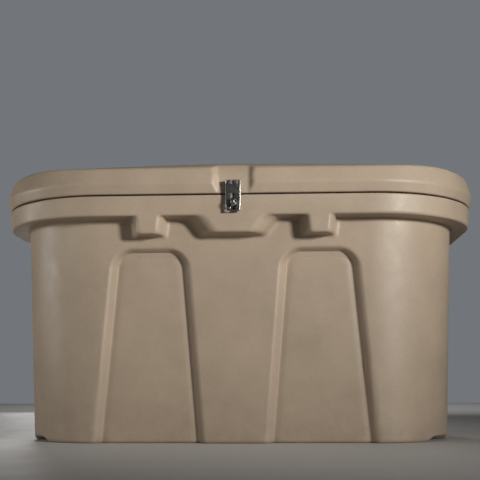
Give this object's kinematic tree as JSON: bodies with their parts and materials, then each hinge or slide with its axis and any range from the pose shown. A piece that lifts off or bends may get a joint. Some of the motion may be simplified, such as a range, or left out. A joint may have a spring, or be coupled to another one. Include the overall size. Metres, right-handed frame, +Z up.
{
  "type": "dock box",
  "caption": "Large lidded outdoor storage chest with a tapered tub, stepped rim, crowned hinged lid, gas struts, drain and a lockable hasp.",
  "frame": {"origin": "middle of the underside, on the floor, under the middle of the chest's width and depth", "axes": "+X to the right along the chest's width, +Y from the front with the hasp to the back with the hinge, +Z up"},
  "size_m": [1.228, 0.6481, 0.6895],
  "materials": {
    "tub_plastic": "tan rotationally moulded polyethylene, fine orange-peel texture, satin",
    "lid_plastic": "tan rotationally moulded polyethylene, fine orange-peel texture, satin",
    "foam": "closed-cell foam, raw",
    "seal_rubber": "black EPDM",
    "hinge_steel": "stainless steel, brushed",
    "hasp_steel": "stainless steel, polished and slightly dulled",
    "screw_steel": "stainless steel fasteners",
    "drain_plastic": "black moulded nylon",
    "bracket_steel": "stainless steel, pressed",
    "strut_paint": "black painted steel tube, semi-gloss",
    "strut_plastic": "black glass-filled nylon",
    "rod_chrome": "hard chromed rod"
  },
  "bodies": {
    "tub": {"tub": "tub_plastic", "weather_seal": "seal_rubber", "hinge_tub_leaf": "hinge_steel", "hinge_pin": "hinge_steel", "hinge_tub_screws": "screw_steel", "staple_plate": "hasp_steel", "staple_screws": "screw_steel", "staple_backing_plate": "hasp_steel", "drain_bushing": "drain_plastic", "drain_gasket": "seal_rubber", "drain_nut": "drain_plastic", "strut_anchor_left": "bracket_steel", "strut_anchor_right": "bracket_steel", "strut_anchor_screws": "screw_steel", "strut_clip_left": "bracket_steel", "strut_clip_right": "bracket_steel"},
    "lid": {"lid_shell": "lid_plastic", "lid_liner": "lid_plastic", "lid_core": "foam", "hinge_lid_leaf": "hinge_steel", "hinge_lid_screws": "screw_steel", "hasp_leaf": "hasp_steel", "hasp_pin": "hasp_steel", "hasp_screws": "screw_steel", "hasp_backing_plate": "hasp_steel", "strut_lid_bracket_left": "bracket_steel", "strut_lid_bracket_right": "bracket_steel", "strut_bracket_screws": "screw_steel"},
    "hasp_arm": {"hasp_arm": "hasp_steel"},
    "turning_eye": {"staple_eye": "hasp_steel"},
    "drain_plug": {"drain_plug": "drain_plastic", "drain_plug_seal": "seal_rubber"},
    "strut_cylinder_left": {"strut_cylinder_left": "strut_paint", "strut_lower_end_left": "strut_plastic"},
    "strut_cylinder_right": {"strut_cylinder_right": "strut_paint", "strut_lower_end_right": "strut_plastic"},
    "strut_rod_left": {"strut_rod_left": "rod_chrome", "strut_upper_end_left": "strut_plastic"},
    "strut_rod_right": {"strut_rod_right": "rod_chrome", "strut_upper_end_right": "strut_plastic"}
  },
  "joints": [
    {"name": "lid_hinge", "type": "hinge", "parent": "tub", "child": "lid", "pos_m": [0, 0.3169, 0.58475], "axis": [-1, 0, 0], "range_deg": [0, 82]},
    {"name": "hasp_swing", "type": "hinge", "parent": "lid", "child": "hasp_arm", "pos_m": [0, -0.3025, 0.614], "axis": [-1, 0, 0], "range_deg": [0, 165]},
    {"name": "eye_turn", "type": "hinge", "parent": "tub", "child": "turning_eye", "pos_m": [0, -0.29671, 0.562], "axis": [0, -0.9981, -0.0611], "range_deg": [-90, 90]},
    {"name": "drain_plug_pull", "type": "slide", "parent": "tub", "child": "drain_plug", "axis": [0.999, 0, -0.0449], "range_m": [0, 0.04]},
    {"name": "strut_swing_left", "type": "hinge", "parent": "tub", "child": "strut_cylinder_left", "pos_m": [-0.5, 0.1769, 0.37975], "axis": [-1, 0, 0], "range_deg": [0, 5.17]},
    {"name": "strut_slide_left", "type": "slide", "parent": "strut_cylinder_left", "child": "strut_rod_left", "axis": [0, 0.2794, 0.9602], "range_m": [0, 0.11151]},
    {"name": "strut_swing_right", "type": "hinge", "parent": "tub", "child": "strut_cylinder_right", "pos_m": [0.5, 0.1769, 0.37975], "axis": [-1, 0, 0], "range_deg": [0, 5.17]},
    {"name": "strut_slide_right", "type": "slide", "parent": "strut_cylinder_right", "child": "strut_rod_right", "axis": [0, 0.2794, 0.9602], "range_m": [0, 0.11151]}
  ],
  "couplings": [
    {"joint": "strut_swing_left", "follows": "lid_hinge", "ratio": 0.062838},
    {"joint": "strut_slide_left", "follows": "lid_hinge", "m_per_rad": 0.077774},
    {"joint": "strut_swing_right", "follows": "lid_hinge", "ratio": 0.062838},
    {"joint": "strut_slide_right", "follows": "lid_hinge", "m_per_rad": 0.077774}
  ]
}
